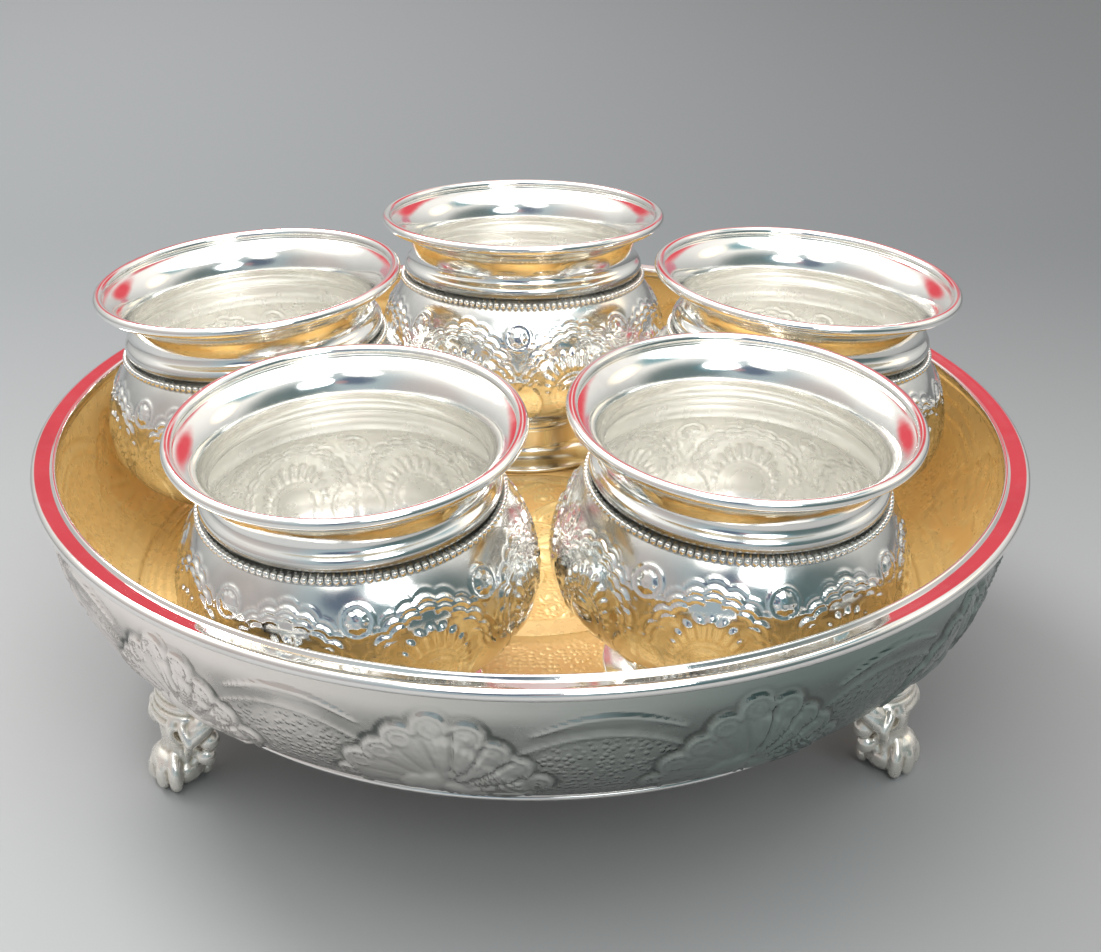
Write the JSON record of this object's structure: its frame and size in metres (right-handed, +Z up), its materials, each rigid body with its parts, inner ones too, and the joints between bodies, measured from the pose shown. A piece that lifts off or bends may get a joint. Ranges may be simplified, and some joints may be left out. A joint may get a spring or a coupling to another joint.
{
  "type": "plate with bowls",
  "caption": "Round footed ritual plate in embossed white metal, with loose pot-bellied bowls standing in a ring on its floor.",
  "frame": {"origin": "on the ground, under the middle of the plate", "axes": "+Z up; -Y is the side that faces the viewer, between the two front feet; +X to the viewer's right"},
  "size_m": [0.22, 0.22, 0.0933],
  "materials": {
    "dish_metal": "silver plated, polished rim, embossed wall",
    "cast_foot_metal": "silver plated casting, satin",
    "rivet_metal": "plain white metal",
    "bowl_metal": "silver plated, polished and embossed",
    "ring_foot_metal": "silver plated, polished"
  },
  "bodies": {
    "plate": {"dish": "dish_metal", "foot_back": "cast_foot_metal", "foot_front_left": "cast_foot_metal", "foot_front_right": "cast_foot_metal", "rivet_back": "rivet_metal", "rivet_front_left": "rivet_metal", "rivet_front_right": "rivet_metal"},
    "back_bowl": {"bowl_back": "bowl_metal", "bowl_back_ring_foot": "ring_foot_metal"},
    "back_left_bowl": {"bowl_back_left": "bowl_metal", "bowl_back_left_ring_foot": "ring_foot_metal"},
    "front_left_bowl": {"bowl_front_left": "bowl_metal", "bowl_front_left_ring_foot": "ring_foot_metal"},
    "front_right_bowl": {"bowl_front_right": "bowl_metal", "bowl_front_right_ring_foot": "ring_foot_metal"},
    "back_right_bowl": {"bowl_back_right": "bowl_metal", "bowl_back_right_ring_foot": "ring_foot_metal"}
  },
  "joints": [
    {"name": "back_bowl_lift", "type": "slide", "parent": "plate", "child": "back_bowl", "axis": [0, 0, 1], "range_m": [0, 0.06]},
    {"name": "back_left_bowl_lift", "type": "slide", "parent": "plate", "child": "back_left_bowl", "axis": [0, 0, 1], "range_m": [0, 0.06]},
    {"name": "front_left_bowl_lift", "type": "slide", "parent": "plate", "child": "front_left_bowl", "axis": [0, 0, 1], "range_m": [0, 0.06]},
    {"name": "front_right_bowl_lift", "type": "slide", "parent": "plate", "child": "front_right_bowl", "axis": [0, 0, 1], "range_m": [0, 0.06]},
    {"name": "back_right_bowl_lift", "type": "slide", "parent": "plate", "child": "back_right_bowl", "axis": [0, 0, 1], "range_m": [0, 0.06]}
  ]
}
